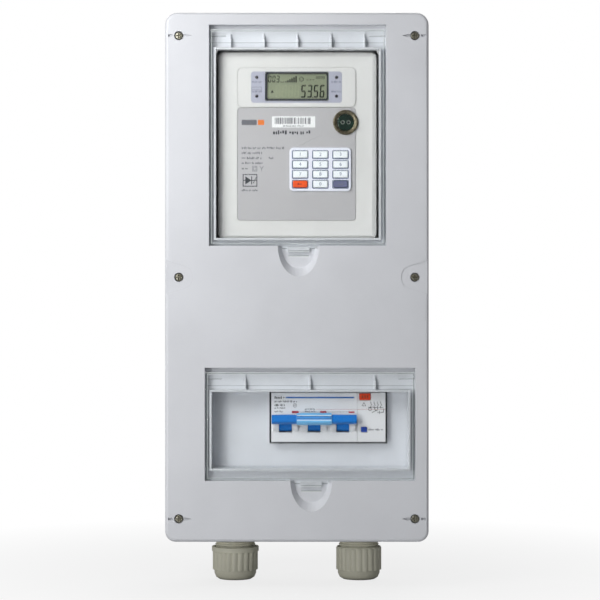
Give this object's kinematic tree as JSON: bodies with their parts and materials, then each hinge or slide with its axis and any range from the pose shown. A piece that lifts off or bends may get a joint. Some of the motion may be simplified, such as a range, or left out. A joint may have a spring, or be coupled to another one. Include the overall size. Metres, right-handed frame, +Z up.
{
  "type": "prepaid electricity meter",
  "caption": "Wall-mounted service box with a keypad prepaid meter behind a clear top-hinged window, a breaker behind a second window, and cable glands below.",
  "frame": {"origin": "centre of the flat back face that rests on the wall", "axes": "+Z up, +X to the right as seen from the front, the front faces -Y"},
  "size_m": [0.239, 0.13, 0.5243],
  "materials": {
    "cover_plastic": "light grey moulded ABS, very fine texture, satin",
    "housing_plastic": "light grey moulded ABS, fine texture",
    "rubber": "black sealing rubber",
    "screw_steel": "zinc plated cross-head screw, dull yellowish grey",
    "plate_steel": "galvanised sheet steel",
    "rail_steel": "yellow-passivated steel rail",
    "clear_plastic": "clear moulded polycarbonate window",
    "meter_plastic": "off-white moulded meter case",
    "label_grey": "printed warm grey face label",
    "display_lens": "clear display lens",
    "lcd_glass": "olive grey liquid crystal display",
    "lamp_red": "unlit dark red lamp",
    "port_metal": "dark bronze-grey magnet ring",
    "port_glass": "near-black infrared window",
    "key_frame": "pale lavender keypad frame",
    "key_white": "white key with a dark digit",
    "key_orange": "orange-red key",
    "key_slate": "slate blue key",
    "circuit_board": "green circuit board",
    "terminal_black": "black moulded terminal block",
    "breaker_white": "white moulded breaker case",
    "toggle_blue": "bright blue toggle",
    "tie_blue": "light blue toggle tie",
    "test_orange": "orange-red test button",
    "reset_blue": "blue reset button",
    "gland_grey": "beige grey nylon cable gland"
  },
  "bodies": {
    "root": {"front_cover": "cover_plastic", "rear_housing": "housing_plastic", "cover_gasket": "rubber", "gland_seal_left": "rubber", "gland_seal_right": "rubber", "cover_screw_1": "screw_steel", "cover_screw_2": "screw_steel", "cover_screw_3": "screw_steel", "cover_screw_4": "screw_steel", "cover_screw_5": "screw_steel", "cover_screw_6": "screw_steel", "mounting_plate": "plate_steel", "din_rail": "rail_steel", "meter_base": "meter_plastic", "meter_cover": "meter_plastic", "terminal_cover": "meter_plastic", "display_bezel": "meter_plastic", "meter_label_panel": "label_grey", "display_lens": "display_lens", "lcd_module": "lcd_glass", "status_led_1": "lamp_red", "status_led_2": "lamp_red", "status_led_3": "lamp_red", "status_led_4": "lamp_red", "optical_port_ring": "port_metal", "optical_port_lens": "port_glass", "keypad_bezel": "key_frame", "meter_circuit_board": "circuit_board", "terminal_block": "terminal_black", "disconnect_relay": "terminal_black", "breaker_pole_1": "breaker_white", "breaker_pole_2": "breaker_white", "breaker_pole_3": "breaker_white", "residual_current_module": "breaker_white", "gland_body_left": "gland_grey", "gland_body_right": "gland_grey", "gland_locknut_left": "gland_grey", "gland_locknut_right": "gland_grey"},
    "upper_window": {"upper_window": "clear_plastic"},
    "lower_window": {"lower_window": "clear_plastic"},
    "breaker_handle": {"breaker_toggle_1": "toggle_blue", "breaker_toggle_2": "toggle_blue", "breaker_toggle_3": "toggle_blue", "toggle_tie": "tie_blue"},
    "test_button": {"test_button": "test_orange"},
    "reset_button": {"reset_button": "reset_blue"},
    "gland_nut_left": {"gland_nut_left": "gland_grey"},
    "gland_nut_right": {"gland_nut_right": "gland_grey"},
    "key_1": {"key_1": "key_white"},
    "key_2": {"key_2": "key_white"},
    "key_3": {"key_3": "key_white"},
    "key_4": {"key_4": "key_white"},
    "key_5": {"key_5": "key_white"},
    "key_6": {"key_6": "key_white"},
    "key_7": {"key_7": "key_white"},
    "key_8": {"key_8": "key_white"},
    "key_9": {"key_9": "key_white"},
    "key_cancel": {"key_cancel": "key_orange"},
    "key_0": {"key_0": "key_white"},
    "key_enter": {"key_enter": "key_slate"}
  },
  "joints": [
    {"name": "upper_window_hinge", "type": "hinge", "parent": "root", "child": "upper_window", "pos_m": [0.0005, -0.1265, 0.2215], "axis": [-1, 0, 0], "range_deg": [0, 120]},
    {"name": "lower_window_hinge", "type": "hinge", "parent": "root", "child": "lower_window", "pos_m": [0.0119, -0.1265, -0.0895], "axis": [-1, 0, 0], "range_deg": [0, 120]},
    {"name": "breaker_handle_pivot", "type": "hinge", "parent": "root", "child": "breaker_handle", "pos_m": [0.0157, -0.11, -0.135], "axis": [1, 0, 0], "range_deg": [0, 65]},
    {"name": "test_button_press", "type": "slide", "parent": "root", "child": "test_button", "axis": [0, 1, 0], "range_m": [0, 0.001], "stiffness_N_per_m": 600},
    {"name": "reset_button_trip", "type": "slide", "parent": "root", "child": "reset_button", "axis": [0, -1, 0], "range_m": [0, 0.002]},
    {"name": "gland_nut_left_turn", "type": "hinge", "parent": "root", "child": "gland_nut_left", "pos_m": [-0.0585, -0.042, -0.269], "axis": [0, 0, 1], "range_deg": [-360, 720]},
    {"name": "gland_nut_right_turn", "type": "hinge", "parent": "root", "child": "gland_nut_right", "pos_m": [0.0585, -0.042, -0.269], "axis": [0, 0, 1], "range_deg": [-360, 720]},
    {"name": "key_1_press", "type": "slide", "parent": "root", "child": "key_1", "axis": [0, 1, 0], "range_m": [0, 0.0008], "stiffness_N_per_m": 500},
    {"name": "key_2_press", "type": "slide", "parent": "root", "child": "key_2", "axis": [0, 1, 0], "range_m": [0, 0.0008], "stiffness_N_per_m": 500},
    {"name": "key_3_press", "type": "slide", "parent": "root", "child": "key_3", "axis": [0, 1, 0], "range_m": [0, 0.0008], "stiffness_N_per_m": 500},
    {"name": "key_4_press", "type": "slide", "parent": "root", "child": "key_4", "axis": [0, 1, 0], "range_m": [0, 0.0008], "stiffness_N_per_m": 500},
    {"name": "key_5_press", "type": "slide", "parent": "root", "child": "key_5", "axis": [0, 1, 0], "range_m": [0, 0.0008], "stiffness_N_per_m": 500},
    {"name": "key_6_press", "type": "slide", "parent": "root", "child": "key_6", "axis": [0, 1, 0], "range_m": [0, 0.0008], "stiffness_N_per_m": 500},
    {"name": "key_7_press", "type": "slide", "parent": "root", "child": "key_7", "axis": [0, 1, 0], "range_m": [0, 0.0008], "stiffness_N_per_m": 500},
    {"name": "key_8_press", "type": "slide", "parent": "root", "child": "key_8", "axis": [0, 1, 0], "range_m": [0, 0.0008], "stiffness_N_per_m": 500},
    {"name": "key_9_press", "type": "slide", "parent": "root", "child": "key_9", "axis": [0, 1, 0], "range_m": [0, 0.0008], "stiffness_N_per_m": 500},
    {"name": "key_cancel_press", "type": "slide", "parent": "root", "child": "key_cancel", "axis": [0, 1, 0], "range_m": [0, 0.0008], "stiffness_N_per_m": 500},
    {"name": "key_0_press", "type": "slide", "parent": "root", "child": "key_0", "axis": [0, 1, 0], "range_m": [0, 0.0008], "stiffness_N_per_m": 500},
    {"name": "key_enter_press", "type": "slide", "parent": "root", "child": "key_enter", "axis": [0, 1, 0], "range_m": [0, 0.0008], "stiffness_N_per_m": 500}
  ]
}
